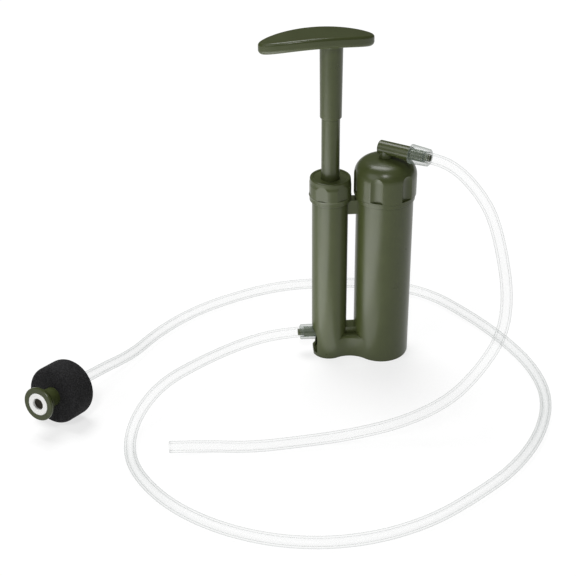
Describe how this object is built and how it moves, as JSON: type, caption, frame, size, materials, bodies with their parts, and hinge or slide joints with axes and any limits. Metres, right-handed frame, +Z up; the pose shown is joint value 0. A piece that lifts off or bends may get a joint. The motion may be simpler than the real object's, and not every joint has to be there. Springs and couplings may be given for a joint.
{
  "type": "pump water filter",
  "caption": "Hand pump water filter: twin-tube body with a T-grip plunger, domed filter cap with elbow outlet, clear hoses and a foam float strainer.",
  "frame": {"origin": "on the resting plane, midway between the pump axis and the filter axis", "axes": "+Z up along both tubes; +X from the pump barrel towards the filter canister; +Y away from the strainer side"},
  "size_m": [0.4161, 0.3596, 0.2833],
  "materials": {
    "olive_plastic": "satin moulded, olive green",
    "white_plastic": "natural white, satin",
    "ring_white": "white, smooth",
    "clear_plastic": "clear, smooth",
    "clear_tube": "clear flexible tube",
    "black_foam": "open-cell foam, matt black",
    "black_rubber": "matt black",
    "valve_rubber": "soft silicone, reddish",
    "ceramic_white": "unglazed, off-white",
    "carbon_black": "pressed granules, matt black",
    "screw_steel": "bright",
    "screen_steel": "fine wire"
  },
  "bodies": {
    "housing": {"housing": "olive_plastic", "base_plate": "olive_plastic", "base_screws": "screw_steel", "channel_cover": "olive_plastic", "valve_plate": "white_plastic", "valve_plate_seal": "black_rubber", "inlet_fitting": "olive_plastic", "inlet_hose_sleeve": "clear_plastic", "rod_guide": "white_plastic", "ceramic_element": "ceramic_white", "carbon_core": "carbon_black", "element_lower_cap": "white_plastic", "element_upper_cap": "white_plastic", "spigot_seal": "black_rubber", "inlet_hose": "clear_tube", "float": "black_foam", "strainer_body": "olive_plastic", "strainer_ring": "ring_white", "strainer_screen": "screen_steel"},
    "inlet_valve": {"inlet_valve": "valve_rubber"},
    "outlet_valve": {"outlet_valve": "valve_rubber"},
    "piston_seals": {"piston_seal_lower": "black_rubber", "piston_seal_upper": "black_rubber"},
    "plunger": {"handle": "olive_plastic", "pump_rod": "olive_plastic", "piston": "white_plastic", "piston_screw": "screw_steel"},
    "pump_cap_seal": {"pump_cap_seal": "black_rubber"},
    "pump_cap": {"pump_cap": "olive_plastic"},
    "filter_cap_seal": {"filter_cap_seal": "black_rubber"},
    "filter_cap": {"filter_cap": "olive_plastic"},
    "elbow": {"outlet_elbow": "olive_plastic", "elbow_clip": "white_plastic", "elbow_seal": "black_rubber", "outlet_hose_sleeve": "clear_plastic", "outlet_hose": "clear_tube"}
  },
  "joints": [
    {"name": "pump_stroke", "type": "slide", "parent": "housing", "child": "piston_seals", "axis": [0, 0, 1], "range_m": [-0.0435, 0.04]},
    {"name": "handle_turn", "type": "hinge", "parent": "piston_seals", "child": "plunger", "pos_m": [-0.022, 0, 0.0865], "axis": [0, 0, 1], "continuous": true},
    {"name": "inlet_valve_lift", "type": "slide", "parent": "housing", "child": "inlet_valve", "axis": [0, 0, 1], "range_m": [0, 0.0012], "stiffness_N_per_m": 20},
    {"name": "outlet_valve_lift", "type": "slide", "parent": "housing", "child": "outlet_valve", "axis": [0, 0, -1], "range_m": [0, 0.0012], "stiffness_N_per_m": 20},
    {"name": "pump_cap_rise", "type": "slide", "parent": "housing", "child": "pump_cap_seal", "axis": [0, 0, 1], "range_m": [0, 0.003]},
    {"name": "pump_cap_turn", "type": "hinge", "parent": "pump_cap_seal", "child": "pump_cap", "pos_m": [-0.022, 0, 0.144], "axis": [0, 0, 1], "range_deg": [0, 360]},
    {"name": "filter_cap_rise", "type": "slide", "parent": "housing", "child": "filter_cap_seal", "axis": [0, 0, 1], "range_m": [0, 0.003]},
    {"name": "filter_cap_turn", "type": "hinge", "parent": "filter_cap_seal", "child": "filter_cap", "pos_m": [0.022, 0, 0.144], "axis": [0, 0, 1], "range_deg": [0, 360]},
    {"name": "elbow_swivel", "type": "hinge", "parent": "filter_cap_seal", "child": "elbow", "pos_m": [0.022, 0, 0.1863], "axis": [0, 0, 1], "range_deg": [-25, 25], "deforming": ["outlet_hose"]}
  ],
  "couplings": [
    {"joint": "pump_cap_turn", "follows": "pump_cap_rise", "rad_per_m": 2094},
    {"joint": "filter_cap_turn", "follows": "filter_cap_rise", "rad_per_m": 2094}
  ]
}
